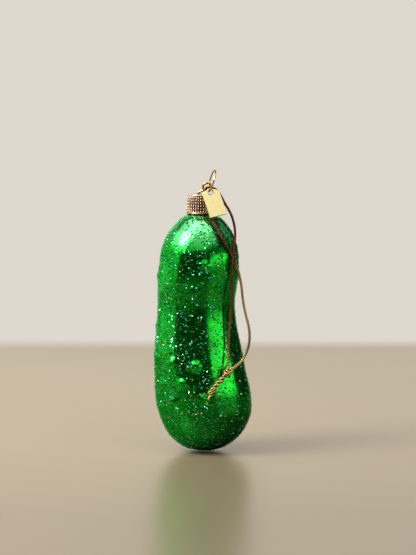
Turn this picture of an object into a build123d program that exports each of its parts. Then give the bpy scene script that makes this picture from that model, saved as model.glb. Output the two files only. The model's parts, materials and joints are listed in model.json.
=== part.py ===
from build123d import *
from math import cos, pi, radians, sin, tan
import os

# Hanging glass pickle ornament, in millimetres. The origin is the centre of the wire eye that
# it hangs by, Z points up and -Y points at the viewer.

# Wire eye over the cap
eye_radius = 1.6
eye_side = 2.35
eye_front = 1.4
eye_rise = 2.75
eye_lean = 20.0
eye_mouth = -123.0
eye_mouth_half = 40.0
eye_turns = 5
wire_diameter = 0.85
wire_bend = 0.65
pinch_run = 0.75
leg_length = 13.0
leg_left = 0.95
leg_right = 2.0
leg_front = 0.5
leg_gap = 0.1
slot_gap = 0.15

# Stamped cap
cap_height = 7.0
cap_sheet = 0.35
cap_gap = 0.15
cap_flare = 0.5
cap_edge = 0.6
ridge_count = 36
ridge_radius = 0.28
hem_radius = 0.3

# Blown glass
neck_radius = 4.4
neck_seat = 0.35
glass_wall = 1.0
foot_side = 0.9
foot_left, foot_left_height = 9.2, 3.0
low_left, low_left_height = 15.2, 11.8
belly_left, belly_left_height = 17.8, 29.0
waist_left, waist_left_height = 16.5, 54.0
shoulder_left, shoulder_left_height = 16.2, 68.0
crown_left, crown_left_height = 14.2, 79.0
dome_left, dome_left_height = 8.5, 87.6
foot_right, foot_right_height = 11.6, 3.0
low_right, low_right_height = 18.3, 11.8
belly_right, belly_right_height = 19.2, 18.0
flank_right, flank_right_height = 16.6, 33.0
waist_right, waist_right_height = 12.9, 55.0
shoulder_right, shoulder_right_height = 14.4, 69.5
crown_right, crown_right_height = 13.4, 79.0
dome_right, dome_right_height = 8.7, 87.6
dome_height = 90.5
section_count = 24
wart_radius = 2.2
wart_rise = 0.6
# Each wart as degrees round from the front, to the right, and height over the foot
warts = [
    (-4, 34), (-24, 27), (-36, 35), (-55, 26.5), (-39, 20), (0, 22), (9, 72), (-88, 66), (-90, 47),
    (-70, 36), (-62, 60), (-118, 24), (-140, 42), (-128, 70), (-160, 16), (-172, 33), (165, 58),
    (150, 26), (128, 40), (112, 66), (116, 24), (110, 51),
]

# Jump ring
ring_radius = 4.2
ring_wire = 0.6
ring_lean = 16.4
ring_turn = 9.4
ring_split = 2.5
ring_slack = 0.27
eye_seat = -48.0
eye_on_ring = 40.0

# Metal tag
tag_width = 7.0
tag_side = 9.7
tag_gable = 1.6
tag_sheet = 0.8
tag_corner = 0.4
tag_roll = 13.0
tag_hole = 1.15
hole_drop = 1.7
tag_slack = 0.12
tag_on_ring = -26.4

# Cord, its overhand knot and its two cut tails
cord_diameter = 1.0
knot_radius = 1.75
knot_length = 4.0
knot_wraps = 3
knot_groove = 0.3
knot_centre = (7.6, -15.9, -68.7)
knot_along = (-0.58, -0.22, -0.78)
cord_points = [
    (8.3, -15.3, -67.7), (10.2, -14.3, -67.0), (12.7, -12.5, -65.1), (14.9, -10.3, -61.8),
    (16.1, -8.5, -57.3), (15.8, -7.3, -52.3), (14.4, -6.5, -47.4), (13.4, -6.0, -42.1),
    (12.9, -5.9, -36.3), (11.6, -6.5, -30.7), (9.5, -8.1, -25.6), (6.9, -10.0, -20.8),
    (4.3, -10.2, -16.3), (2.2, -7.3, -12.3), (0.7, -5.4, -8.1), (-0.2, -4.5, -4.4),
    (-0.6, -3.6, -1.6), (-0.5, -2.2, -0.1), (1.5, -2.0, 0.0), (3.5, -1.8, -0.8), (5.2, -1.7, -3.2),
    (6.5, -1.7, -5.9), (8.3, -1.9, -8.6), (9.7, -2.4, -11.8), (10.6, -3.8, -16.0), (10.4, -6.2, -20.7),
    (9.8, -8.6, -25.8), (9.4, -9.2, -32.0), (9.3, -9.1, -40.0), (8.7, -9.6, -48.9),
    (8.1, -10.8, -56.6), (8.0, -12.9, -62.9), (7.8, -15.0, -67.5),
]
tail_long_points = [(7.0, -15.9, -69.7), (5.0, -16.6, -71.8), (2.8, -17.3, -74.8), (0.7, -17.7, -77.9)]
tail_short_points = [(7.2, -16.8, -69.0), (5.2, -17.7, -70.6), (3.0, -18.2, -73.0), (0.9, -18.4, -75.5)]

# Places worked out from the sizes above
wire_radius = wire_diameter / 2
ring_half = ring_wire / 2
neck_x, neck_y = -eye_side, eye_front
cap_top = -eye_rise
cap_top_radius = neck_radius + cap_gap + cap_sheet
cap_rim_radius = cap_top_radius + cap_flare
neck_top = cap_top - cap_sheet
neck_root = cap_top - cap_height - neck_seat + hem_radius
foot = neck_root - dome_height
bore_radius = neck_radius - glass_wall

ring_up = Vector(sin(radians(ring_lean)), 0, cos(radians(ring_lean)))
ring_side = Vector(cos(radians(ring_lean)), 0, -sin(radians(ring_lean)))
ring_back = Vector(0, cos(radians(ring_turn)), 0) - ring_side * sin(radians(ring_turn))
seat_reach = eye_radius - wire_radius - ring_half - ring_slack
ring_in_eye = Vector(seat_reach * cos(radians(eye_seat)), 0, seat_reach * sin(radians(eye_seat)))


def round_ring(degrees_back):
    angle = radians(degrees_back)
    return ring_back * (ring_radius * sin(angle)) - ring_up * (ring_radius * cos(angle))


ring_centre = ring_in_eye - round_ring(eye_on_ring)


# Blown glass pickle with its neck
def left_of_neck(side, height):
    return (neck_x - side, foot + height)


def right_of_neck(side, height):
    return (neck_x + side, foot + height)


foot_point = right_of_neck(foot_side, 0)
with BuildLine(Plane.XZ) as outline:
    Spline(
        left_of_neck(neck_radius, dome_height),
        left_of_neck(dome_left, dome_left_height),
        left_of_neck(crown_left, crown_left_height),
        left_of_neck(shoulder_left, shoulder_left_height),
        left_of_neck(waist_left, waist_left_height),
        left_of_neck(belly_left, belly_left_height),
        left_of_neck(low_left, low_left_height),
        left_of_neck(foot_left, foot_left_height),
        foot_point,
        right_of_neck(foot_right, foot_right_height),
        right_of_neck(low_right, low_right_height),
        right_of_neck(belly_right, belly_right_height),
        right_of_neck(flank_right, flank_right_height),
        right_of_neck(waist_right, waist_right_height),
        right_of_neck(shoulder_right, shoulder_right_height),
        right_of_neck(crown_right, crown_right_height),
        right_of_neck(dome_right, dome_right_height),
        right_of_neck(neck_radius, dome_height),
    )
outline_edge = outline.edges()[0]
foot_share = outline_edge.param_at_point(Vector(foot_point[0], 0, foot_point[1]))


def glass_section(share):
    left = outline_edge.position_at(foot_share * (1 - share))
    right = outline_edge.position_at(foot_share + (1 - foot_share) * share)
    across = right - left
    middle = (left + right) * 0.5
    level = Plane(
        origin=(middle.X, neck_y, middle.Z), x_dir=across, z_dir=across.cross(Vector(0, 1, 0))
    )
    return level, across.length / 2


def section_at(height):
    low, high = 0.0, 1.0
    for _ in range(30):
        share = (low + high) / 2
        level, _radius = glass_section(share)
        if level.origin.Z < foot + height:
            low = share
        else:
            high = share
    return glass_section(share)


shares = [(step + 0.6) / (section_count + 0.6) for step in range(section_count + 1)]
neck_level = Plane.XY.offset(neck_root).shift_origin((neck_x, neck_y, neck_root))
with BuildPart() as glass_body:
    for share in shares:
        level, radius = glass_section(share)
        with BuildSketch(level):
            Circle(radius)
    loft()
    with BuildSketch(neck_level):
        Circle(neck_radius)
    extrude(amount=neck_top - neck_root)
    for degrees_round, height in warts:
        level, radius = section_at(height)
        turn = radians(degrees_round)
        reach = radius - wart_radius + wart_rise
        out = level.x_dir * sin(turn) - Vector(0, 1, 0) * cos(turn)
        with Locations(level.origin + out * reach):
            Sphere(wart_radius)
    for share in shares[1:]:
        level, radius = glass_section(share)
        with BuildSketch(level):
            Circle(radius - glass_wall)
    loft(mode=Mode.SUBTRACT)
    with BuildSketch(neck_level.offset(-glass_wall)):
        Circle(bore_radius)
    extrude(amount=neck_top - neck_root + 2 * glass_wall, mode=Mode.SUBTRACT)
glass_body.part.label = "glass_body"

# Stamped cap with its ridged skirt
skirt_run = cap_height - cap_edge
flare_angle = Vector(cap_flare, -skirt_run).get_angle(Vector(0, -1))
with BuildPart() as cap:
    cap_plane = Plane(origin=(neck_x, neck_y, cap_top), x_dir=(1, 0, 0), z_dir=(0, -1, 0))
    with BuildSketch(cap_plane):
        with BuildLine():
            Polyline(
                (0, 0), (cap_top_radius - cap_edge, 0), (cap_top_radius, -cap_edge),
                (cap_rim_radius, -cap_height), (cap_rim_radius - cap_sheet, -cap_height),
                (cap_top_radius - cap_sheet, -cap_edge), (cap_top_radius - cap_sheet, -cap_sheet),
                (0, -cap_sheet), close=True,
            )
        make_face()
        with Locations((cap_rim_radius - cap_sheet + hem_radius, -cap_height)):
            Circle(hem_radius)
    revolve(axis=Axis(cap_plane.origin, (0, 0, 1)))
    skirt_middle = cap_top - cap_edge - skirt_run / 2
    with Locations((neck_x, neck_y, skirt_middle)):
        with PolarLocations(cap_top_radius + cap_flare / 2, ridge_count):
            Cylinder(ridge_radius, skirt_run - ridge_radius, rotation=(0, -flare_angle, 0))
    leg_places = [(neck_x - leg_left, neck_y - leg_front), (neck_x + leg_right, neck_y - leg_front)]
    with BuildSketch(Plane.XY.offset(cap_top)):
        with Locations(*leg_places):
            Circle(wire_radius + slot_gap)
    extrude(amount=-cap_sheet, mode=Mode.SUBTRACT)
cap.part.label = "cap"


# Bent spring wire: the eye over the cap and two legs that spread inside the neck
def on_eye(degrees_round, reach):
    angle, lean = radians(degrees_round), radians(eye_lean)
    return Vector(
        reach * cos(angle), -reach * sin(angle) * sin(lean), reach * sin(angle) * cos(lean)
    )


def eye_heading(degrees_round):
    return (on_eye(degrees_round + 90, 1)).normalized()


eye_start = eye_mouth - eye_mouth_half
eye_end = eye_mouth + eye_mouth_half
eye_step = (360 - 2 * eye_mouth_half) / eye_turns
eye_corners = [
    on_eye(eye_start - eye_step * (turn + 0.5), eye_radius / cos(radians(eye_step / 2)))
    for turn in range(eye_turns)
]
pinch_left = on_eye(eye_start, eye_radius) + eye_heading(eye_start) * pinch_run
pinch_right = on_eye(eye_end, eye_radius) - eye_heading(eye_end) * pinch_run
leg_reach = bore_radius - wire_radius - leg_gap
slot_rise = cap_top + wire_bend
bend_level = neck_top - 2 * wire_bend
bow_level = neck_top - leg_length / 2
tip_level = neck_top - leg_length


def leg_points(slot_place, way):
    bow_x = neck_x + way * leg_reach * cos(radians(10))
    bow_y = neck_y - leg_reach * sin(radians(10))
    return [
        Vector(slot_place[0], slot_place[1], slot_rise),
        Vector(slot_place[0], slot_place[1], bend_level),
        Vector(bow_x, bow_y, bow_level),
        Vector(bow_x - way * wire_bend, bow_y, tip_level),
    ]


left_leg, right_leg = leg_points(leg_places[0], -1), leg_points(leg_places[1], 1)
wire_points = left_leg[::-1] + [pinch_left] + eye_corners + [pinch_right] + right_leg
leg_bends = [4 * wire_bend, 2 * wire_bend, wire_bend]
pinch_bend = 0.7 * wire_bend
wire_bends = leg_bends + [pinch_bend] + [0.97 * eye_radius] * eye_turns + [pinch_bend] + leg_bends[::-1]
with BuildPart() as hanger_wire:
    with BuildLine() as wire_path:
        FilletPolyline(*wire_points, radius=wire_bends)
    with BuildSketch(Plane(wire_path.line @ 0, z_dir=wire_path.line % 0)):
        Circle(wire_radius)
    sweep()
hanger_wire.part.label = "hanger_wire"

# Jump ring, split where its ends meet
ring_plane = Plane(origin=ring_centre, x_dir=ring_up, z_dir=ring_up.cross(ring_back))
with BuildPart() as jump_ring:
    section_plane = Plane(origin=ring_centre, x_dir=ring_up, z_dir=ring_back)
    with BuildSketch(section_plane):
        with Locations((ring_radius, 0)):
            Circle(ring_half)
    revolve(axis=Axis(ring_centre, ring_plane.z_dir), revolution_arc=360 - ring_split)
jump_ring.part.label = "jump_ring"

# Metal tag with a gabled head, threaded on the ring
tag_turn = radians(tag_on_ring)
tag_face = (ring_up * sin(tag_turn) + ring_back * cos(tag_turn)) * -1
tag_level = Vector(-tag_face.Y, tag_face.X, 0).normalized()
tag_across = tag_level * cos(radians(tag_roll)) + tag_face.cross(tag_level) * sin(radians(tag_roll))
tag_plane = Plane(origin=ring_centre + round_ring(tag_on_ring), x_dir=tag_across, z_dir=tag_face)
tag_pin = tag_hole - ring_half - tag_slack
with BuildPart() as tag:
    with BuildSketch(tag_plane):
        with BuildLine():
            head = hole_drop - tag_pin
            shoulder = head - tag_gable
            Polyline(
                (0, head), (tag_width / 2, shoulder), (tag_width / 2, shoulder - tag_side),
                (-tag_width / 2, shoulder - tag_side), (-tag_width / 2, shoulder), close=True,
            )
        make_face()
        fillet(vertices(), tag_corner)
        with Locations((0, -tag_pin)):
            Circle(tag_hole, mode=Mode.SUBTRACT)
    extrude(amount=tag_sheet / 2, both=True)
tag.part.label = "tag"


# Cord tubes, on straight runs joined by arcs as wide as the runs allow
def corner_radii(points):
    radii = []
    for before, here, after in zip(points, points[1:], points[2:]):
        run_in, run_out = Vector(here) - Vector(before), Vector(after) - Vector(here)
        half_turn = radians(run_in.get_angle(run_out)) / 2
        radii.append(0.45 * min(run_in.length, run_out.length) / tan(half_turn))
    return radii


def report_tube(name, path, tube, points):
    area = pi * cord_diameter**2 / 4
    print(name, "length", round(path.length, 1), "volume ratio", round(tube.volume / (area * path.length), 4))
    print("  radii", [round(radius, 1) for radius in corner_radii(points)])


with BuildPart() as cord_loop:
    with BuildLine() as loop_path:
        FilletPolyline(*cord_points, radius=corner_radii(cord_points))
    with BuildSketch(Plane(loop_path.line @ 0, z_dir=loop_path.line % 0)):
        Circle(cord_diameter / 2)
    sweep()
cord_loop.part.label = "cord_loop"
report_tube("cord_loop", loop_path.wire(), cord_loop.part, cord_points)

with BuildPart() as cord_tail_long:
    with BuildLine() as long_path:
        FilletPolyline(*tail_long_points, radius=corner_radii(tail_long_points))
    with BuildSketch(Plane(long_path.line @ 0, z_dir=long_path.line % 0)):
        Circle(cord_diameter / 2)
    sweep()
cord_tail_long.part.label = "cord_tail_long"
report_tube("cord_tail_long", long_path.wire(), cord_tail_long.part, tail_long_points)

with BuildPart() as cord_tail_short:
    with BuildLine() as short_path:
        FilletPolyline(*tail_short_points, radius=corner_radii(tail_short_points))
    with BuildSketch(Plane(short_path.line @ 0, z_dir=short_path.line % 0)):
        Circle(cord_diameter / 2)
    sweep()
cord_tail_short.part.label = "cord_tail_short"
report_tube("cord_tail_short", short_path.wire(), cord_tail_short.part, tail_short_points)

# Overhand knot, as a bulged body with the grooves between its wraps
wrap_step = knot_length / knot_wraps
knot_axis = Vector(*knot_along).normalized()
knot_across = knot_axis.cross(Vector(0, 1, 0)).normalized()
knot_plane = Plane(origin=knot_centre, x_dir=knot_across, z_dir=knot_across.cross(knot_axis))
with BuildPart() as cord_knot:
    with BuildSketch(knot_plane):
        for wrap in range(knot_wraps):
            along = wrap_step * (wrap + 0.5) - knot_length / 2
            with Locations((knot_radius - wrap_step / 2, along)):
                Circle(wrap_step / 2)
        with Locations((knot_radius / 2 - knot_groove / 2, 0)):
            Rectangle(knot_radius - knot_groove, knot_length - wrap_step)
        split(bisect_by=Plane.YZ, keep=Keep.TOP)
    revolve(axis=Axis(knot_centre, knot_axis))
cord_knot.part.label = "cord_knot"

os.makedirs("parts", exist_ok=True)
export_step(glass_body.part, "parts/glass_body.step")
export_step(cap.part, "parts/cap.step")
export_step(hanger_wire.part, "parts/hanger_wire.step")
export_step(jump_ring.part, "parts/jump_ring.step")
export_step(tag.part, "parts/tag.step")
export_step(cord_loop.part, "parts/cord_loop.step")
export_step(cord_knot.part, "parts/cord_knot.step")
export_step(cord_tail_long.part, "parts/cord_tail_long.step")
export_step(cord_tail_short.part, "parts/cord_tail_short.step")
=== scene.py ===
import bmesh
import bpy
import json
import math
import random
from mathutils import Matrix, Vector, noise


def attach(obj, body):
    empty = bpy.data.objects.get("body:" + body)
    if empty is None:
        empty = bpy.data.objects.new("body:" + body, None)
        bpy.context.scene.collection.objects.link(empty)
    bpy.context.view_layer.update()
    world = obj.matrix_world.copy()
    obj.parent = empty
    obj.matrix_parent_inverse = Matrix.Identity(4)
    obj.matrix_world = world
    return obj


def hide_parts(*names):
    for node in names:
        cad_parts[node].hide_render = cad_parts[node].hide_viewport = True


# hanging glass pickle ornament, sizes in millimetres and turned to metres by mm
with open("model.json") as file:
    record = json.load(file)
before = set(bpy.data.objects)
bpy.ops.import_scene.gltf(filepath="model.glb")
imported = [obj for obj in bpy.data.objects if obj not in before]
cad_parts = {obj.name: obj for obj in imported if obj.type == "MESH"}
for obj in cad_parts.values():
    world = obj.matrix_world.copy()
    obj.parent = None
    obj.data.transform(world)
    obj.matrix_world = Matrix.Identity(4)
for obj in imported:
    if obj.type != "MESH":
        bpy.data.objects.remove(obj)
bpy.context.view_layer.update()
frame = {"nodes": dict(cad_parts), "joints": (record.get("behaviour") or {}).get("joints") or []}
scene = bpy.context.scene
scene.view_settings.view_transform = "Standard"
mm = 0.001
print("frame loaded with", len(frame["nodes"]), "solids")

# camera
shot = {
    "imageHeight": 555,  # pixels
    "pixelsPerMm": 2.635,  # at the neck's depth
    "distance": 900,
    "elevation": 5.0,  # degrees above the horizon
    "aim": (0.31, 1.4, -34.4),
    "sensor": 36,
    "clip": (0.01, 100),  # metres
}
cameraData = bpy.data.cameras.new("camera")
camera = bpy.data.objects.new("camera", cameraData)
scene.collection.objects.link(camera)
lift = math.radians(shot["elevation"])
towardsCamera = Vector((0, -math.cos(lift), math.sin(lift)))
camera.location = (Vector(shot["aim"]) + towardsCamera * shot["distance"]) * mm
camera.rotation_euler = (-towardsCamera).to_track_quat("-Z", "Y").to_euler()
cameraData.sensor_width = shot["sensor"]
cameraData.lens = shot["sensor"] * shot["pixelsPerMm"] * shot["distance"] / shot["imageHeight"]
cameraData.clip_start, cameraData.clip_end = shot["clip"]
scene.camera = camera
print("camera lens", round(cameraData.lens, 1))


# shared helpers
def newMaterial(name):
    material = bpy.data.materials.new(name)
    material.use_nodes = True
    tree = material.node_tree
    return material, tree, tree.nodes["Principled BSDF"]


def noiseOn(tree, scale, detail=3.0, stretch=(1, 1, 1), turn=(0, 0, 0)):
    coords = tree.nodes.new("ShaderNodeTexCoord")
    mapping = tree.nodes.new("ShaderNodeMapping")
    mapping.inputs["Scale"].default_value = stretch
    mapping.inputs["Rotation"].default_value = turn
    grain = tree.nodes.new("ShaderNodeTexNoise")
    grain.inputs["Scale"].default_value = scale
    grain.inputs["Detail"].default_value = detail
    tree.links.new(coords.outputs["Object"], mapping.inputs["Vector"])
    tree.links.new(mapping.outputs["Vector"], grain.inputs["Vector"])
    return grain.outputs["Fac"]


def colourRamp(tree, factor, stops):
    ramp = tree.nodes.new("ShaderNodeValToRGB")
    while len(ramp.color_ramp.elements) < len(stops):
        ramp.color_ramp.elements.new(0.5)
    for element, (place, colour) in zip(ramp.color_ramp.elements, stops):
        element.position = place
        element.color = (*colour, 1)
    tree.links.new(factor, ramp.inputs["Fac"])
    return ramp.outputs["Color"]


def blendColours(tree, factor, first, second):
    mix = tree.nodes.new("ShaderNodeMix")
    mix.data_type = "RGBA"
    tree.links.new(factor, mix.inputs["Factor"])
    for socket, colour in ((mix.inputs[6], first), (mix.inputs[7], second)):  # the node's two colours
        if isinstance(colour, tuple):
            socket.default_value = (*colour, 1)
        else:
            tree.links.new(colour, socket)
    return mix.outputs[2]


def spread(tree, factor, low, high, fromLow=0.3, fromHigh=0.7):
    span = tree.nodes.new("ShaderNodeMapRange")
    span.inputs["From Min"].default_value = fromLow
    span.inputs["From Max"].default_value = fromHigh
    span.inputs["To Min"].default_value = low
    span.inputs["To Max"].default_value = high
    tree.links.new(factor, span.inputs["Value"])
    return span.outputs["Result"]


def multiplied(tree, first, second):
    node = tree.nodes.new("ShaderNodeMath")
    node.operation = "MULTIPLY"
    tree.links.new(first, node.inputs[0])
    tree.links.new(second, node.inputs[1])
    return node.outputs["Value"]


def scaledSum(tree, value, factor, base):
    node = tree.nodes.new("ShaderNodeMath")
    node.operation = "MULTIPLY_ADD"  # value times factor, plus base
    node.inputs[1].default_value = factor
    tree.links.new(value, node.inputs[0])
    tree.links.new(base, node.inputs[2])
    return node.outputs["Value"]


def placeOn(tree):
    coords = tree.nodes.new("ShaderNodeTexCoord")
    split = tree.nodes.new("ShaderNodeSeparateXYZ")
    tree.links.new(coords.outputs["Object"], split.inputs["Vector"])
    return coords.outputs["Object"], split.outputs


def metalFinish(tree, shader, colour, grain, rough, metallic=1.0):
    tree.links.new(colour, shader.inputs["Base Color"])
    shader.inputs["Metallic"].default_value = metallic
    tree.links.new(spread(tree, grain, *rough), shader.inputs["Roughness"])


def bump(tree, shader, height, strength, distance):
    node = tree.nodes.new("ShaderNodeBump")
    node.inputs["Strength"].default_value = strength
    node.inputs["Distance"].default_value = distance
    tree.links.new(height, node.inputs["Height"])
    tree.links.new(node.outputs["Normal"], shader.inputs["Normal"])


def attributeOf(tree, name, output="Fac"):
    node = tree.nodes.new("ShaderNodeAttribute")
    node.attribute_name = name
    return node.outputs[output]


def showMesh(name, mesh, body, materials, smooth=True):
    piece = bpy.data.objects.new(name, mesh)
    scene.collection.objects.link(piece)
    for material in materials:
        mesh.materials.append(material)
    for polygon in mesh.polygons:
        polygon.use_smooth = smooth
    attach(piece, body)
    return piece


def closeMesh(bm, name):
    bmesh.ops.recalc_face_normals(bm, faces=bm.faces)
    mesh = bpy.data.meshes.new(name)
    bm.to_mesh(mesh)
    bm.free()
    return mesh


def readCurve(kind, points, resolution):
    curve = bpy.data.curves.new("route", "CURVE")
    curve.dimensions = "3D"
    curve.resolution_u = resolution
    spline = curve.splines.new(kind)
    if kind == "BEZIER":
        spline.bezier_points.add(len(points) - 1)
        for point, place in zip(spline.bezier_points, points):
            point.handle_left_type = "AUTO"
            point.handle_right_type = "AUTO"
            point.co = Vector(place) * mm
    else:
        spline.points.add(len(points) - 1)
        for point, place in zip(spline.points, points):
            point.co = (*(Vector(place) * mm), 1)
        spline.order_u = 3
        spline.use_endpoint_u = True
    holder = bpy.data.objects.new("route", curve)
    scene.collection.objects.link(holder)
    bpy.context.view_layer.update()
    mesh = bpy.data.meshes.new_from_object(holder.evaluated_get(bpy.context.evaluated_depsgraph_get()))
    line = [vertex.co.copy() for vertex in mesh.vertices]
    bpy.data.objects.remove(holder)
    bpy.data.meshes.remove(mesh)
    return line


def lengthOf(line):
    return sum((b - a).length for a, b in zip(line, line[1:]))


def evenSteps(line, step):
    count = max(2, round(lengthOf(line) / step))
    gap = lengthOf(line) / count
    placed, travelled = [line[0].copy()], 0.0
    for a, b in zip(line, line[1:]):
        run = (b - a).length
        while len(placed) < count and travelled + run >= gap * len(placed):
            placed.append(a.lerp(b, (gap * len(placed) - travelled) / run))
        travelled += run
    placed.append(line[-1].copy())
    return placed


# metallic cord: gold foil plies and wine red plies wound round a core
cord = {
    "diameter": 1.0,
    "core": 0.34,  # radius
    "plies": [(0.22, 0), (0.17, 1), (0.22, 0), (0.17, 1)],  # radius, and 0 for foil or 1 for wine
    "pitch": 2.2,
    "tailPitch": 3.4,
    "step": 0.1,
    "routeSteps": 12,  # for each stretch of a route
    "frayCount": 7,
    "frayJitter": 0.6,  # share of the gap between two fibres
    "frayLength": 1.1,
    "frayReach": (0.35, 0.75),  # shares of that length
    "frayRadius": 0.07,
    "frayRoot": 0.25,  # out from the cord's middle
    "frayBend": 0.36,
    "frayMiddle": 0.4,  # where the bend is, as a share of the reach
    "frayOut": (0.35, 0.6),
    "frayBack": 0.5,  # from the tip into the cord
    # painted light and painted shade along the loop, from the knot: 1 keeps the foil's full gold, lower
    # values paint it darker
    "gilt": [
        (0.0, 1.0), (0.05, 1.0), (0.075, 0.3), (0.11, 0.3), (0.15, 0.8), (0.20, 1.0),
        (0.27, 1.0), (0.33, 0.12), (0.45, 0.02), (0.80, 0.03), (0.94, 0.12), (1.0, 0.5),
    ],
    "route": [
        (8.3, -15.3, -67.7), (10.2, -14.3, -67.0), (12.7, -12.5, -65.1), (14.9, -10.3, -61.8),
        (16.1, -8.5, -57.3), (15.8, -7.3, -52.3), (14.4, -6.5, -47.4), (13.4, -6.0, -42.1),
        (12.9, -5.9, -36.3), (11.6, -6.5, -30.7), (9.5, -8.1, -25.6), (6.9, -10.0, -20.8),
        (4.3, -10.2, -16.3), (2.2, -7.3, -12.3), (0.7, -5.4, -8.1), (-0.2, -4.5, -4.4),
        (-0.6, -3.6, -1.6), (-0.5, -2.2, -0.1), (1.5, -2.0, 0.0), (3.5, -1.8, -0.8), (5.2, -1.7, -3.2),
        (6.5, -1.7, -5.9), (8.3, -1.9, -8.6), (9.7, -2.4, -11.8), (10.6, -3.8, -16.0), (10.4, -6.2, -20.7),
        (9.8, -8.6, -25.8), (9.4, -9.2, -32.0), (9.3, -9.1, -40.0), (8.7, -9.6, -48.9),
        (8.1, -10.8, -56.6), (8.0, -12.9, -62.9), (7.8, -15.0, -67.5),
    ],
    "tailLong": [(7.0, -15.9, -69.7), (5.0, -16.6, -71.8), (2.8, -17.3, -74.8), (0.7, -17.7, -77.9)],
    "tailShort": [(7.2, -16.8, -69.0), (5.2, -17.7, -70.6), (3.0, -18.2, -73.0), (0.9, -18.4, -75.5)],
}


def goldFoil():
    material, tree, shader = newMaterial("goldFoil")
    wraps = attributeOf(tree, "along")  # distance along the ply, in millimetres
    wave = tree.nodes.new("ShaderNodeTexWave")
    join = tree.nodes.new("ShaderNodeCombineXYZ")
    tree.links.new(wraps, join.inputs["X"])
    tree.links.new(join.outputs["Vector"], wave.inputs["Vector"])
    wave.inputs["Scale"].default_value = 0.9
    wave.inputs["Distortion"].default_value = 1.5
    colour = colourRamp(tree, wave.outputs["Fac"], [
        (0.0, (0.90, 0.50, 0.08)), (0.3, (1.0, 0.74, 0.20)), (1.0, (1.0, 0.88, 0.40)),
    ])
    # painted shade: the foil painted near black where the loop is shaded
    worn = colourRamp(tree, wave.outputs["Fac"], [
        (0.25, (0.025, 0.002, 0.002)), (0.95, (0.34, 0.08, 0.02)),
    ])
    colour = blendColours(tree, attributeOf(tree, "gilt"), worn, colour)
    metalFinish(tree, shader, colour, noiseOn(tree, 2500), (0.28, 0.42), 0.45)
    bump(tree, shader, wave.outputs["Fac"], 0.5, 0.00003)
    return material


def wineThread():
    material, tree, shader = newMaterial("wineThread")
    fibres = noiseOn(tree, 3000, 4.0, stretch=(1, 1, 0.2))
    wine = colourRamp(tree, fibres, [(0.3, (0.010, 0.001, 0.001)), (0.7, (0.060, 0.004, 0.003))])
    # painted light: the wine plies painted bronze where the loop is lit
    bronze = colourRamp(tree, fibres, [(0.3, (0.03, 0.004, 0.003)), (0.7, (0.20, 0.035, 0.012))])
    gilded = spread(tree, attributeOf(tree, "gilt"), 0, 1, 0.5, 1.0)
    tree.links.new(blendColours(tree, gilded, wine, bronze), shader.inputs["Base Color"])
    shader.inputs["Roughness"].default_value = 0.55
    shader.inputs["Specular IOR Level"].default_value = 0.2
    bump(tree, shader, fibres, 0.4, 0.00004)
    return material


foilGold = goldFoil()
threadWine = wineThread()


def framesAlong(line):
    heading = (line[1] - line[0]).normalized()
    side = heading.orthogonal().normalized()
    frames = []
    for index, place in enumerate(line):
        ahead = line[min(index + 1, len(line) - 1)] - line[max(index - 1, 0)]
        ahead.normalize()
        side = (side - ahead * side.dot(ahead)).normalized()
        frames.append((place, side.copy(), ahead.cross(side)))
    return frames


def tubeMesh(line, radius, around):
    curve = bpy.data.curves.new("strand", "CURVE")
    curve.dimensions = "3D"
    curve.bevel_depth = radius
    curve.bevel_resolution = around // 2 - 2
    curve.use_fill_caps = True
    spline = curve.splines.new("POLY")
    spline.points.add(len(line) - 1)
    for point, place in zip(spline.points, line):
        point.co = (*place, 1)
    holder = bpy.data.objects.new("strand", curve)
    mesh = bpy.data.meshes.new_from_object(holder)
    bpy.data.objects.remove(holder)
    return mesh


def giltAt(share):
    for (start, low), (end, high) in zip(cord["gilt"], cord["gilt"][1:]):
        if share <= end:
            return low + (high - low) * (share - start) / (end - start)
    return cord["gilt"][-1][1]


def addTube(bm, line, radius, material, around=8, worn=False):
    along, gilt = bm.verts.layers.float["along"], bm.verts.layers.float["gilt"]
    mesh = tubeMesh(line, radius * mm, around)
    first, faces = len(bm.verts), len(bm.faces)
    bm.from_mesh(mesh)
    bm.verts.ensure_lookup_table()
    bm.faces.ensure_lookup_table()
    perRing = (len(bm.verts) - first) / len(line)
    run = lengthOf(line) / (len(line) - 1) / mm
    for index in range(first, len(bm.verts)):
        step = int((index - first) / perRing)
        bm.verts[index][along] = step * run
        # painted light and painted shade along the loop, or full gold
        bm.verts[index][gilt] = giltAt(step / (len(line) - 1)) if worn else 1.0
    for face in bm.faces[faces:]:
        face.material_index = material
    bpy.data.meshes.remove(mesh)


def twistedCord(bm, line, phase, worn, scale, pitch):
    steps = framesAlong(evenSteps(line, cord["step"] * mm))
    addTube(bm, [place for place, side, up in steps], cord["core"] * scale, 1, worn=worn)
    for ply, (radius, material) in enumerate(cord["plies"]):
        reach = (cord["diameter"] / 2 - radius) * scale * mm
        wound = []
        for index, (place, side, up) in enumerate(steps):
            turn = phase + math.tau * (index * cord["step"] / pitch + ply / len(cord["plies"]))
            wound.append(place + side * (reach * math.cos(turn)) + up * (reach * math.sin(turn)))
        addTube(bm, wound, radius * scale, material, worn=worn)


def frayedEnd(bm, line, chance):
    tip = line[-1]
    heading = (line[-1] - line[-3]).normalized()
    side = heading.orthogonal().normalized()
    up = heading.cross(side)
    for fibre in range(cord["frayCount"]):
        turn = math.tau * (fibre + chance.random() * cord["frayJitter"]) / cord["frayCount"]
        out = side * math.cos(turn) + up * math.sin(turn)
        reach = cord["frayLength"] * chance.uniform(*cord["frayReach"]) * mm
        start = tip + out * cord["frayRoot"] * mm - heading * cord["frayBack"] * mm
        middle = tip + out * cord["frayBend"] * mm + heading * reach * cord["frayMiddle"]
        end = tip + out * chance.uniform(*cord["frayOut"]) * mm + heading * reach
        addTube(bm, [start, middle, end], cord["frayRadius"], int(fibre % 3 == 2), 6)  # every third is wine


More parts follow.
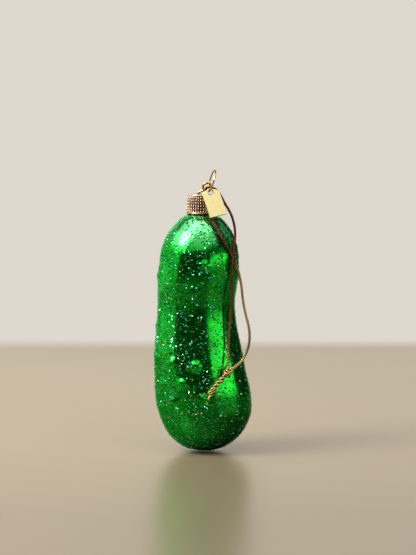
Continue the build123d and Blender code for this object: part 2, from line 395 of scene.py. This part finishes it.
def cordPiece(name, lines, fraySeed=None, worn=False, scale=1.0, pitch=cord["pitch"], filling=None):
    bm = bmesh.new()
    bm.verts.layers.float.new("along")
    bm.verts.layers.float.new("gilt")
    for phase, line in enumerate(lines):
        twistedCord(bm, line, phase, worn, scale, pitch)
    # a dark tube inside a knot, painted shade between the wraps
    if filling is not None:
        addTube(bm, *filling, 1, 12)
    if fraySeed is not None:
        frayedEnd(bm, lines[-1], random.Random(fraySeed))
    return showMesh(name, closeMesh(bm, name), "ring", [foilGold, threadWine])


loopLine = readCurve("NURBS", cord["route"], cord["routeSteps"])
# the loop is painted lit and shaded along its length
cordLoop = cordPiece("cordLoop", [loopLine], worn=True)
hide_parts("cord_loop")
print("cord loop", round(lengthOf(loopLine) / mm, 1), "mm long")

# overhand knot: three wraps of the cord with one strand tucked across them
knot = {
    "centre": (7.6, -15.9, -68.7),
    "along": (-0.58, -0.22, -0.78),
    "front": (0.25, -0.95, 0.15),  # the side that the tucked strand crosses
    "radius": 1.2,
    "ends": 0.86,  # share of the radius at the first and last wrap
    "bulge": 0.16,  # share that the middle adds
    "length": 2.7,
    "wraps": 3,
    "points": 18,  # for each wrap
    "routeSteps": 6,
    "tuck": (-0.62, -0.4, -0.15, 0.1, 0.35, 0.6),  # shares of the length
    "tuckLift": 0.42,
    "tuckBow": 1.6,
    "tuckSlant": 1.5,
    "pull": 0.74,  # the cord pulled thin in the knot
    "pitch": 5.0,
    "filling": 0.9,  # radius of the dark inside, a dark tube put as painted shade between the wraps
    "shadeFillingReach": 0.6,  # share of the length, each way
}


def knotLines():
    centre = Vector(knot["centre"])
    axis = Vector(knot["along"]).normalized()
    side = axis.orthogonal().normalized()
    up = axis.cross(side)
    wraps = []
    total = knot["wraps"] * knot["points"]
    for index in range(total + 1):
        share = index / total
        turn = math.tau * knot["wraps"] * share
        bulge = knot["radius"] * (knot["ends"] + knot["bulge"] * math.sin(math.pi * share))
        slide = axis * (knot["length"] * (share - 0.5))
        wraps.append(centre + slide + (side * math.cos(turn) + up * math.sin(turn)) * bulge)
    front = Vector(knot["front"])
    front = (front - axis * front.dot(axis)).normalized()
    cross = axis.cross(front)
    tuck = []
    for share in knot["tuck"]:
        reach = knot["radius"] + knot["tuckLift"] - knot["tuckBow"] * share * share
        aside = cross * (knot["tuckSlant"] * share)
        tuck.append(centre + axis * (knot["length"] * share) + front * reach + aside)
    return [wraps, tuck]


knotRoutes = [readCurve("NURBS", points, knot["routeSteps"]) for points in knotLines()]
inner = Vector(knot["along"]).normalized() * knot["length"] * knot["shadeFillingReach"]
innerLine = [(Vector(knot["centre"]) + inner * share) * mm for share in (-1, -0.5, 0, 0.5, 1)]
cordKnot = cordPiece(
    "cordKnot", knotRoutes, scale=knot["pull"], pitch=knot["pitch"], filling=(innerLine, knot["filling"]))
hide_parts("cord_knot")
longLine = readCurve("NURBS", cord["tailLong"], cord["routeSteps"])
tailLong = cordPiece("cordTailLong", [longLine], fraySeed=3, pitch=cord["tailPitch"])
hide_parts("cord_tail_long")
shortLine = readCurve("NURBS", cord["tailShort"], cord["routeSteps"])
tailShort = cordPiece("cordTailShort", [shortLine], fraySeed=8, pitch=cord["tailPitch"])
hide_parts("cord_tail_short")
print("knot and tails made")

# blown glass pickle
glass = {
    "neckAxis": (-2.35, 1.4),
    "foot": -100.3,
    "neckRadius": 4.4,
    "neckTop": -3.1,
    "domeHeight": 90.5,
    "wall": 1.0,
    "footSide": 0.9,
    "left": [(8.5, 87.6), (14.2, 79), (16.2, 68), (16.5, 54), (17.8, 29), (15.2, 11.8), (9.2, 3)],
    "right": [
        (11.6, 3), (18.3, 11.8), (19.2, 18), (16.6, 33), (12.9, 55), (14.4, 69.5), (13.4, 79), (8.7, 87.6),
    ],
    "outlineSteps": 24,  # between two points of the outline
    "segments": 168,
    "rings": 180,
    "plainTop": 6,  # under the neck, with no warts or ripple
    "wartSteps": 120,  # heights tried for each wart
    "wartReach": 2.7,
    "ripple": 0.15,
    "rippleSize": 11.0,
    # degrees round from the front to the right, height over the foot, and rise
    "warts": [
        (-4, 34, 1.0), (-24, 27, 1.0), (-36, 35, 0.9), (-55, 26.5, 0.9), (-39, 20, 0.9), (0, 22, 0.9),
        (9, 72, 0.8), (-88, 66, 0.45), (-90, 47, 0.4), (-70, 36, 0.6), (-62, 60, 0.6), (-118, 24, 0.8),
        (-140, 42, 0.8), (-128, 70, 0.8), (-160, 16, 0.8), (-172, 33, 0.8), (165, 58, 0.8), (150, 26, 0.8),
        (128, 40, 0.8), (112, 66, 0.6), (116, 24, 0.6), (110, 51, 0.6),
    ],
}


def outlineHalves():
    axis, foot = glass["neckAxis"][0], glass["foot"]
    neck = (glass["neckRadius"], glass["domeHeight"])
    left = [(axis - side, 0, foot + height) for side, height in [neck, *glass["left"]]]
    right = [(axis + side, 0, foot + height) for side, height in [*glass["right"], neck]]
    steps = glass["outlineSteps"]
    line = readCurve("BEZIER", [*left, (axis + glass["footSide"], 0, foot), *right], steps)
    footIndex = steps * len(left)
    return line[footIndex::-1], line[footIndex:]


leftLine, rightLine = outlineHalves()


def pointAt(line, share):
    wanted = lengthOf(line) * share
    for a, b in zip(line, line[1:]):
        run = (b - a).length
        if run >= wanted:
            return a.lerp(b, wanted / run)
        wanted -= run
    return line[-1].copy()


def sectionMatrix(share):
    left, right = pointAt(leftLine, share), pointAt(rightLine, share)
    across = (right - left) / 2
    middle = (left + right) / 2
    depth = Vector((0, across.length, 0))
    upward = across.cross(depth).normalized() * across.length
    placed = Matrix((across, depth, upward)).transposed().to_4x4()
    placed.translation = (middle.x, glass["neckAxis"][1] * mm, middle.z)
    return placed


def wartPlace(turnDegrees, height):
    wanted = (glass["foot"] + height) * mm
    shares = [step / glass["wartSteps"] for step in range(1, glass["wartSteps"])]
    share = min(shares, key=lambda each: abs(sectionMatrix(each).translation.z - wanted))
    turn = math.radians(turnDegrees)
    return sectionMatrix(share) @ Vector((math.sin(turn), -math.cos(turn), 0))


def glassSkin():
    bm = bmesh.new()
    placed = sectionMatrix(1 / glass["rings"] ** 1.5)  # a tiny first ring at the foot
    bmesh.ops.create_circle(
        bm, cap_ends=True, cap_tris=True, segments=glass["segments"], radius=1, matrix=placed)
    order = bm.verts.layers.int.new("order")  # the same in every run, unlike what extruding gives
    for index, vert in enumerate(bm.verts):
        vert[order] = index
    perRing = len(bm.verts)
    edges = [edge for edge in bm.edges if edge.is_boundary]
    stations = [sectionMatrix(step / glass["rings"]) for step in range(1, glass["rings"] + 1)]
    neckRise = glass["neckTop"] - glass["foot"] - glass["domeHeight"]
    for share in (0.25, 0.5, 0.75, 1.0):
        stations.append(Matrix.Translation((0, 0, neckRise * share * mm)) @ stations[glass["rings"] - 1])
    for station in stations:
        grown = bmesh.ops.extrude_edge_only(bm, edges=edges)["geom"]
        verts = [item for item in grown if isinstance(item, bmesh.types.BMVert)]
        edges = [item for item in grown if isinstance(item, bmesh.types.BMEdge) and item.is_boundary]
        for vert in verts:
            vert[order] += perRing
        bmesh.ops.transform(bm, matrix=station @ placed.inverted(), verts=verts)
        placed = station
    bm.verts.sort(key=lambda vert: vert[order])
    bm.verts.index_update()
    bm.verts.layers.int.remove(order)
    bmesh.ops.recalc_face_normals(bm, faces=bm.faces)
    return bm


def raiseWarts(bm):
    bm.normal_update()
    neckLevel = (glass["foot"] + glass["domeHeight"] - glass["plainTop"]) * mm
    skin = [(vert, vert.normal.copy(), vert.co.copy()) for vert in bm.verts if vert.co.z < neckLevel]
    places = [(wartPlace(turn, height), rise) for turn, height, rise in glass["warts"]]
    reach = glass["wartReach"] * mm
    for vert, normal, place in skin:
        rise = glass["ripple"] * noise.noise(place / (glass["rippleSize"] * mm))
        for wart, height in places:
            away = (place - wart).length / reach
            if away < 1:
                rise += height * (1 - away * away) ** 2
        vert.co = place + normal * rise * mm


# holographic glitter strewn over the lacquer
glitter = {
    "count": 6500,
    "batch": 130,
    "small": 0.13,
    "large": 0.29,
    "top": 89,  # height over the foot
    "tilt": 48,  # degrees at most
    "tiltEase": 0.7,
    "lift": 0.05,
    "sheet": 0.03,
    "seed": 41,
    "shade": (0.6, 1.0),
    # colours, and how many of each
    "colours": [
        ((0.03, 0.50, 0.10), 30), ((0.10, 0.85, 0.30), 20), ((0.12, 0.85, 0.66), 22),
        ((0.12, 0.38, 0.90), 8), ((0.95, 0.70, 0.20), 8), ((0.85, 0.20, 0.05), 2), ((0.62, 0.90, 0.75), 5),
    ],
}


def cornersOf(face):
    return sorted(face.verts, key=lambda vert: vert.index)


def strewGlitter(skin):
    chance = random.Random(glitter["seed"])
    top = (glass["foot"] + glitter["top"]) * mm
    faces = [face for face in skin.faces if face.calc_center_median().z < top]
    faces.sort(key=lambda face: [vert.index for vert in cornersOf(face)])
    picked = chance.choices(faces, weights=[face.calc_area() for face in faces], k=glitter["count"])
    colours, weights = zip(*glitter["colours"])
    strewn = list(zip(picked, chance.choices(colours, weights=weights, k=glitter["count"])))
    whole = bmesh.new()
    for start in range(0, glitter["count"], glitter["batch"]):
        bm = bmesh.new()
        colour = bm.faces.layers.float_color.new("flakeColour")
        for face, tint in strewn[start:start + glitter["batch"]]:
            shares = [chance.random() for corner in face.verts]
            place = Vector((0, 0, 0))
            for corner, share in zip(cornersOf(face), shares):
                place += corner.co * (share / sum(shares))
            normal = face.normal
            axis = Matrix.Rotation(chance.uniform(0, math.tau), 3, normal) @ normal.orthogonal()
            tilt = math.radians(glitter["tilt"]) * chance.random() ** glitter["tiltEase"]
            tilted = Matrix.Rotation(tilt, 3, axis) @ normal
            spin = Matrix.Rotation(chance.uniform(0, math.tau), 4, "Z")
            turned = tilted.to_track_quat("Z", "Y").to_matrix().to_4x4()
            radius = chance.uniform(glitter["small"], glitter["large"]) * mm
            before = len(bm.faces)
            bmesh.ops.create_circle(
                bm, cap_ends=True, segments=6, radius=radius,
                matrix=Matrix.Translation(place + normal * glitter["lift"] * mm) @ turned @ spin)
            bm.faces.ensure_lookup_table()
            shade = chance.uniform(*glitter["shade"])
            for index in range(before, len(bm.faces)):
                bm.faces[index][colour] = (*[channel * shade for channel in tint], 1)
        part = bpy.data.meshes.new("glitterBatch")
        bm.to_mesh(part)
        bm.free()
        whole.from_mesh(part)
        bpy.data.meshes.remove(part)
    mesh = bpy.data.meshes.new("glitterFlakes")
    whole.to_mesh(mesh)
    whole.free()
    return mesh


# green lacquer over silvered glass, with places in metres
lacquer = {
    "dark": (0.004, 0.40, 0.013),
    "bright": (0.010, 0.62, 0.028),
    "crown": (-0.023, -0.012),  # heights between which the lacquer is painted paler, a painted highlight
    "crownHighlightColour": (0.16, 0.70, 0.27),
    "paintedShadeHeight": (-0.077, -0.086),  # and where the lacquer is painted dark, a painted shade at one side of the foot
    "paintedShadeSide": (-0.014, 0.006),
    "paintedShadeWeight": (0.2, 0.9),
    "paintedShadeColour": (0.002, 0.10, 0.005),
    "flakeScale": 1900,
    "flakeShare": (0.82, 0.86),  # cells above this are flakes
    "flakeTilt": 0.6,
    "rough": (0.14, 0.24),
    "sheenTint": (0.40, 0.90, 0.50),
    "coat": 0.08,
    "coatRough": 0.06,
}


def flakeNormal(tree, cells, mask, strength):
    centred = tree.nodes.new("ShaderNodeVectorMath")
    centred.operation = "SUBTRACT"
    centred.inputs[1].default_value = (0.5, 0.5, 0.5)
    tree.links.new(cells, centred.inputs[0])
    scaled = tree.nodes.new("ShaderNodeVectorMath")
    scaled.operation = "SCALE"
    tree.links.new(centred.outputs["Vector"], scaled.inputs[0])
    tree.links.new(spread(tree, mask, 0, strength, 0, 1), scaled.inputs["Scale"])
    facing = tree.nodes.new("ShaderNodeNewGeometry")
    tilted = tree.nodes.new("ShaderNodeVectorMath")
    tilted.operation = "ADD"
    tree.links.new(facing.outputs["Normal"], tilted.inputs[0])
    tree.links.new(scaled.outputs["Vector"], tilted.inputs[1])
    return tilted.outputs["Vector"]


def greenLacquer():
    material, tree, shader = newMaterial("greenLacquer")
    clouds = noiseOn(tree, 55, 3.0, stretch=(1, 1, 0.45))
    colour = colourRamp(tree, clouds, [(0.3, lacquer["dark"]), (0.7, lacquer["bright"])])
    place, split = placeOn(tree)
    # painted highlight: the lacquer painted paler and whiter across the crown
    crown = spread(tree, split["Z"], 0, 1, *lacquer["crown"])
    colour = blendColours(tree, crown, colour, lacquer["crownHighlightColour"])
    # painted shade: the lacquer painted dark low down, more on the right side of the foot
    low = spread(tree, split["Z"], 0, 1, *lacquer["paintedShadeHeight"])
    side = spread(tree, split["X"], *lacquer["paintedShadeWeight"], *lacquer["paintedShadeSide"])
    colour = blendColours(tree, multiplied(tree, low, side), colour, lacquer["paintedShadeColour"])
    cells = tree.nodes.new("ShaderNodeTexVoronoi")  # fine flakes under the lacquer
    cells.inputs["Scale"].default_value = lacquer["flakeScale"]
    tree.links.new(place, cells.inputs["Vector"])
    shares = tree.nodes.new("ShaderNodeSeparateColor")
    tree.links.new(cells.outputs["Color"], shares.inputs["Color"])
    mask = spread(tree, shares.outputs["Red"], 0, 1, *lacquer["flakeShare"])
    speck = colourRamp(tree, shares.outputs["Green"], [
        (0.0, (0.001, 0.02, 0.003)), (0.7, (0.003, 0.08, 0.010)),
        (0.85, (0.05, 0.55, 0.25)), (1.0, (0.30, 0.80, 0.50)),
    ])
    colour = blendColours(tree, mask, colour, speck)
    metalFinish(tree, shader, colour, noiseOn(tree, 700, 5.0), lacquer["rough"])
    shader.inputs["Specular Tint"].default_value = (*lacquer["sheenTint"], 1)
    shader.inputs["Coat Weight"].default_value = lacquer["coat"]
    shader.inputs["Coat Roughness"].default_value = lacquer["coatRough"]
    normal = flakeNormal(tree, cells.outputs["Color"], mask, lacquer["flakeTilt"])
    tree.links.new(normal, shader.inputs["Normal"])
    return material


def glitterFoil():
    material, tree, shader = newMaterial("glitterFoil")
    colour = attributeOf(tree, "flakeColour", "Color")
    metalFinish(tree, shader, colour, noiseOn(tree, 900), (0.16, 0.30), 0.9)
    return material


skin = glassSkin()
raiseWarts(skin)
skin.normal_update()
flakes = showMesh("glitterFlakes", strewGlitter(skin), "glass", [glitterFoil()], False)
thicken = flakes.modifiers.new("sheet", "SOLIDIFY")
thicken.thickness = glitter["sheet"] * mm
pickle = showMesh("pickleGlass", closeMesh(skin, "pickleGlass"), "glass", [greenLacquer()])
glassWall = pickle.modifiers.new("wall", "SOLIDIFY")
glassWall.thickness = glass["wall"] * mm
glassWall.offset = -1
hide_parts("glass_body")
print("glass pickle with", len(glass["warts"]), "warts and", glitter["count"], "flakes")

# stamped cap with a beaded, fluted skirt
cap = {
    "top": -2.75,
    "height": 7.0,
    "sheet": 0.3,
    "topRadius": 4.9,
    "rimRadius": 5.4,
    "edge": 0.6,
    "flutes": 36,
    "fluteSteps": 6,
    "fluteRise": 0.18,
    "fluteFade": 5,  # the flutes fade out over a fifth of the skirt at each end
    "skirtSteps": 14,
    "rounds": [(0.38, 0.03), (0.16, 0.14), (0.04, 0.32), (0.0, 0.6)],  # shares of the rolled top edge
    "hemRadius": 0.3,
    "hemInset": 0.05,
    "hemSteps": 96,
    "beadRows": 6,
    "beadRadius": 0.29,
    "beadSeat": 0.9,  # share of the flutes' rise
    "holes": [(-0.95, -0.5), (2.0, -0.5)],  # for the two legs of the wire
    "holeRadius": 0.57,
}
capPlace = Matrix.Translation(Vector((*glass["neckAxis"], cap["top"])) * mm)


def skirtRadius(share):
    return cap["topRadius"] + (cap["rimRadius"] - cap["topRadius"]) * share


def capShell():
    bm = bmesh.new()
    ridge = bm.verts.layers.float.new("ridge")
    segments = cap["flutes"] * cap["fluteSteps"]
    bmesh.ops.create_circle(bm, segments=segments, radius=(cap["topRadius"] - cap["edge"]) * mm)
    edges = list(bm.edges)
    for side, front in cap["holes"]:
        bmesh.ops.create_circle(
            bm, segments=20, radius=cap["holeRadius"] * mm,
            matrix=Matrix.Translation((side * mm, front * mm, 0)))
    bmesh.ops.triangle_fill(bm, edges=list(bm.edges), use_beauty=True)
    profile = [
        (cap["topRadius"] - cap["edge"] * inset, cap["edge"] * drop, 0) for inset, drop in cap["rounds"]
    ]
    run = cap["height"] - cap["edge"]
    for step in range(cap["skirtSteps"] + 1):
        share = step / cap["skirtSteps"]
        fade = min(1, share * cap["fluteFade"], (1 - share) * cap["fluteFade"])
        profile.append((skirtRadius(share), cap["edge"] + run * share, fade))
    for radius, drop, fade in profile:
        grown = bmesh.ops.extrude_edge_only(bm, edges=edges)["geom"]
        edges = [item for item in grown if isinstance(item, bmesh.types.BMEdge) and item.is_boundary]
        for vert in [item for item in grown if isinstance(item, bmesh.types.BMVert)]:
            turn = math.atan2(vert.co.y, vert.co.x)
            wave = 0.5 + 0.5 * math.cos(turn * cap["flutes"])
            out = (radius + cap["fluteRise"] * fade * wave) * mm
            vert.co = (out * math.cos(turn), out * math.sin(turn), -drop * mm)
            vert[ridge] = 1 - fade * (1 - wave)
    bmesh.ops.transform(bm, matrix=capPlace, verts=bm.verts)
    return bm


def capTrim():
    bm = bmesh.new()
    run = cap["height"] - cap["edge"]
    for row in range(cap["beadRows"]):
        share = (row + 0.5) / cap["beadRows"]
        out = skirtRadius(share) + cap["fluteRise"] * cap["beadSeat"]
        for flute in range(cap["flutes"]):
            turn = math.tau * flute / cap["flutes"]
            bead = Vector((out * math.cos(turn), out * math.sin(turn), -cap["edge"] - run * share)) * mm
            bmesh.ops.create_uvsphere(
                bm, u_segments=8, v_segments=5, radius=cap["beadRadius"] * mm,
                matrix=Matrix.Translation(bead))
    hemPlace = Matrix.Translation(((cap["rimRadius"] - cap["hemInset"]) * mm, 0, -cap["height"] * mm))
    upright = Matrix.Rotation(math.pi / 2, 4, "X")
    hem = bmesh.ops.create_circle(
        bm, segments=10, radius=cap["hemRadius"] * mm, matrix=hemPlace @ upright)
    rim = [edge for edge in bm.edges if edge.verts[0] in hem["verts"]]
    bmesh.ops.spin(
        bm, geom=hem["verts"] + rim, cent=(0, 0, 0), axis=(0, 0, 1), angle=math.tau,
        steps=cap["hemSteps"], use_merge=True)
    bmesh.ops.transform(bm, matrix=capPlace, verts=bm.verts)
    return bm


def roseGold():
    material, tree, shader = newMaterial("roseGold")
    grime = noiseOn(tree, 900, 4.0)
    clean = scaledSum(tree, grime, 0.5, attributeOf(tree, "ridge"))  # darker in the flutes' valleys
    colour = colourRamp(tree, clean, [
        (0.2, (0.13, 0.06, 0.03)), (0.6, (0.52, 0.32, 0.20)), (1.0, (0.93, 0.70, 0.54)),
    ])
    metalFinish(tree, shader, colour, noiseOn(tree, 1500), (0.16, 0.30))
    bump(tree, shader, grime, 0.2, 0.00004)
    return material


def roseBead():
    material, tree, shader = newMaterial("roseBead")
    colour = colourRamp(tree, noiseOn(tree, 1200), [(0.3, (0.56, 0.36, 0.22)), (0.7, (0.93, 0.70, 0.53))])
    metalFinish(tree, shader, colour, noiseOn(tree, 1800), (0.12, 0.22))
    return material


capPiece = showMesh("capShell", closeMesh(capShell(), "capShell"), "cap", [roseGold()])
capWall = capPiece.modifiers.new("wall", "SOLIDIFY")
capWall.thickness = cap["sheet"] * mm
capWall.offset = -1
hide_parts("cap")
showMesh("capBeads", closeMesh(capTrim(), "capBeads"), "cap", [roseBead()])
print("cap with", cap["flutes"] * cap["beadRows"], "beads")


# gold wire of the eye and the jump ring
def goldWire(name, dark, bright, rough):
    material, tree, shader = newMaterial(name)
    colour = colourRamp(tree, noiseOn(tree, 600, 4.0), [(0.3, dark), (0.7, bright)])
    metalFinish(tree, shader, colour, noiseOn(tree, 2200), rough)
    bump(tree, shader, noiseOn(tree, 3000, 2.0), 0.1, 0.00002)
    return material


for node, finish in (
    ("hanger_wire", goldWire("springGold", (0.42, 0.27, 0.05), (0.80, 0.58, 0.16), (0.10, 0.20))),
    ("jump_ring", goldWire("ringGold", (0.55, 0.36, 0.10), (0.86, 0.64, 0.24), (0.08, 0.18))),
):
    solid = frame["nodes"][node]
    solid.data.materials.clear()
    solid.data.materials.append(finish)
print("wire finishes set")

# bare metal tag with a gabled head, which hangs on the ring where its joint is
tag = {
    "joint": "tag_swing",
    "roll": 13.0,  # degrees
    "width": 7.0,
    "side": 9.7,
    "gable": 1.6,
    "head": 0.97,
    "holeRadius": 1.15,
    "holeDrop": 0.73,
    "sheet": 0.8,
    "corner": 0.4,
    "bevel": 0.1,
    "sharpAngle": 1.0,  # radians, past which an edge is bevelled
    "edgeSlope": 0.3,  # faces steeper than this are the darker edge
}


def tagPlace():
    joint = next(each for each in frame["joints"] if each["name"] == tag["joint"])
    face = Vector(joint["axis"]).normalized()
    level = Vector((-face.y, face.x, 0)).normalized()
    turned = Matrix.Rotation(math.radians(tag["roll"]), 3, face) @ level
    placed = Matrix((turned, face.cross(turned), face)).transposed().to_4x4()
    placed.translation = joint["pos_m"]
    return placed


def tagPlate():
    bm = bmesh.new()
    half, back = tag["width"] / 2, -tag["sheet"] / 2
    shoulder = tag["head"] - tag["gable"]
    lower = shoulder - tag["side"]
    corners = [(0, tag["head"]), (-half, shoulder), (-half, lower), (half, lower), (half, shoulder)]
    bm.faces.new([bm.verts.new((x * mm, y * mm, back * mm)) for x, y in corners])
    bmesh.ops.bevel(
        bm, geom=list(bm.verts), affect="VERTICES", offset=tag["corner"] * mm, offset_type="OFFSET",
        segments=4, profile=0.5, material=-1)
    bmesh.ops.delete(bm, geom=list(bm.faces), context="FACES_ONLY")
    bmesh.ops.create_circle(
        bm, segments=40, radius=tag["holeRadius"] * mm,
        matrix=Matrix.Translation((0, -tag["holeDrop"] * mm, back * mm)))
    bmesh.ops.triangle_fill(bm, edges=list(bm.edges), use_beauty=True, use_dissolve=False)
    grown = bmesh.ops.extrude_face_region(bm, geom=list(bm.faces))["geom"]
    verts = [item for item in grown if isinstance(item, bmesh.types.BMVert)]
    bmesh.ops.translate(bm, vec=(0, 0, tag["sheet"] * mm), verts=verts)
    bmesh.ops.recalc_face_normals(bm, faces=bm.faces)
    sharp = [edge for edge in bm.edges if edge.calc_face_angle(0) > tag["sharpAngle"]]
    bmesh.ops.bevel(
        bm, geom=sharp, affect="EDGES", offset=tag["bevel"] * mm, offset_type="OFFSET",
        segments=2, profile=0.5, material=-1)
    bm.normal_update()
    for face in bm.faces:
        face.material_index = int(abs(face.normal.z) < tag["edgeSlope"])
    bmesh.ops.transform(bm, matrix=tagPlace(), verts=bm.verts)
    return bm


def brushedBrass():
    material, tree, shader = newMaterial("brushedBrass")
    turn = tagPlace().to_euler()
    brush = noiseOn(tree, 700, 5.0, stretch=(9, 1, 1), turn=(-turn.x, -turn.y, -turn.z))
    colour = colourRamp(tree, brush, [(0.3, (0.97, 0.79, 0.33)), (0.7, (1.0, 0.87, 0.45))])
    metalFinish(tree, shader, colour, brush, (0.28, 0.38))
    bump(tree, shader, noiseOn(tree, 260, 2.0), 0.15, 0.0002)
    return material


def bronzeEdge():
    material, tree, shader = newMaterial("bronzeEdge")
    tarnish = noiseOn(tree, 800, 3.0)
    colour = colourRamp(tree, tarnish, [(0.3, (0.30, 0.16, 0.05)), (0.7, (0.52, 0.31, 0.10))])
    metalFinish(tree, shader, colour, noiseOn(tree, 1500), (0.22, 0.36))
    return material


tagMetals = [brushedBrass(), bronzeEdge()]
tagPiece = showMesh("tagPlate", closeMesh(tagPlate(), "tagPlate"), "tag", tagMetals, False)
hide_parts("tag")
print("tag made")

# floor, sky and lamps, in metres
studio = {
    "floorSize": 40.0,
    "floorDrop": 0.0004,  # under the foot
    "floorRough": 0.3,
    "floorGloss": 0.3,
    "floorEdge": (0.335, 0.375),  # behind this the floor is as pale as the backdrop
    "floorShadeRun": (-0.45, 0.25),  # from front to back, with the colours at shares of it; painted shade darkens the floor towards the front
    "rightEdge": (0.10, 0.18),  # where the backdrop ends at the right, on the floor and in the sky
    "rightSlant": 0.12,
    "floorShadeColours": [
        (0.0, (0.19, 0.150, 0.100)), (0.45, (0.20, 0.156, 0.098)), (0.66, (0.27, 0.208, 0.126)),
        (1.0, (0.34, 0.270, 0.170)),
    ],
    "backColour": (0.73, 0.685, 0.62),
    "glowColour": (1.16, 1.05, 0.89),  # behind and above the picture, mirrored by the floor
    "glowRise": (0.045, 0.09),
    "skyBehind": (0.5, 0.9),  # how far towards the back the dark room turns pale
    "darkColour": (0.03, 0.03, 0.03),
    "aim": (-0.0024, 0.0014, -0.05),
    # name, bearing right of the camera and rise in degrees, distance, width, height, brightness
    "lamps": [
        ("softboxLeft", -80, 52, 0.75, 0.76, 0.80, 1.3),
        ("softboxCore", -64, 43, 0.70, 0.31, 0.31, 15.0),
        ("softboxTop", -6, 74, 0.80, 0.85, 0.36, 2.6),
        ("softboxFront", -4, 42, 0.80, 0.76, 0.42, 0.95),
        ("softboxRight", 42, 41, 0.75, 0.34, 0.30, 0.9),
        ("windowRight", 62, 7.5, 0.85, 0.86, 0.19, 1.6),
        ("panelBack", 120, 28, 0.85, 0.40, 0.45, 0.38),
        ("panelRight", 70, 3, 1.0, 0.40, 0.70, 0.22),
        ("panelLeft", -96, 9, 0.85, 1.10, 1.0, 0.65),
    ],
}


def addLamp(name, bearing, rise, distance, width, height, brightness):
    data = bpy.data.lights.new(name, "AREA")
    data.shape = "RECTANGLE"
    data.size = width
    data.size_y = height
    data.energy = brightness * math.pi * width * height
    lamp = bpy.data.objects.new(name, data)
    scene.collection.objects.link(lamp)
    bearing, rise = math.radians(bearing), math.radians(rise)
    outward = Vector((
        math.cos(rise) * math.sin(bearing), -math.cos(rise) * math.cos(bearing), math.sin(rise)))
    lamp.location = Vector(studio["aim"]) + outward * distance
    lamp.rotation_euler = (-outward).to_track_quat("-Z", "Y").to_euler()


def onBackdrop(tree, split):
    slanted = scaledSum(tree, split["Y"], -studio["rightSlant"], split["X"])
    return spread(tree, slanted, 1, 0, *studio["rightEdge"])


def paleFloor():
    material, tree, shader = newMaterial("paleFloor")
    split = placeOn(tree)[1]
    run = spread(tree, split["Y"], 0, 1, *studio["floorShadeRun"])
    # painted shade: the floor painted darker towards the front, as if the light fell off
    tree.links.new(colourRamp(tree, run, studio["floorShadeColours"]), shader.inputs["Base Color"])
    shader.inputs["Roughness"].default_value = studio["floorRough"]
    shader.inputs["Specular IOR Level"].default_value = studio["floorGloss"]
    behind = spread(tree, split["Y"], 0, 1, *studio["floorEdge"])
    backdrop = tree.nodes.new("ShaderNodeEmission")
    backdrop.inputs["Color"].default_value = (*studio["backColour"], 1)
    join = tree.nodes.new("ShaderNodeMixShader")
    tree.links.new(multiplied(tree, behind, onBackdrop(tree, split)), join.inputs["Fac"])
    tree.links.new(shader.outputs["BSDF"], join.inputs[1])
    tree.links.new(backdrop.outputs["Emission"], join.inputs[2])
    tree.links.new(join.outputs["Shader"], tree.nodes["Material Output"].inputs["Surface"])
    return material


for lamp in studio["lamps"]:
    addLamp(*lamp)
floorMesh = bmesh.new()
bmesh.ops.create_grid(
    floorMesh, x_segments=8, y_segments=8, size=studio["floorSize"],
    matrix=Matrix.Translation((0, 0, glass["foot"] * mm - studio["floorDrop"])))
floorData = bpy.data.meshes.new("floor")
floorMesh.to_mesh(floorData)
floorMesh.free()
floor = bpy.data.objects.new("floor", floorData)
scene.collection.objects.link(floor)
floorData.materials.append(paleFloor())

world = bpy.data.worlds.new("studioRoom")
scene.world = world
world.use_nodes = True
sky = world.node_tree
direction = sky.nodes.new("ShaderNodeTexCoord")
parts = sky.nodes.new("ShaderNodeSeparateXYZ")
sky.links.new(direction.outputs["Generated"], parts.inputs["Vector"])
behind = spread(sky, parts.outputs["Y"], 0, 1, *studio["skyBehind"])
above = spread(sky, parts.outputs["Z"], 0, 1, *studio["glowRise"])
air = blendColours(sky, above, studio["backColour"], studio["glowColour"])
air = blendColours(sky, behind, studio["darkColour"], air)
air = blendColours(sky, onBackdrop(sky, parts.outputs), studio["darkColour"], air)
sky.links.new(air, sky.nodes["Background"].inputs["Color"])
print("studio set")
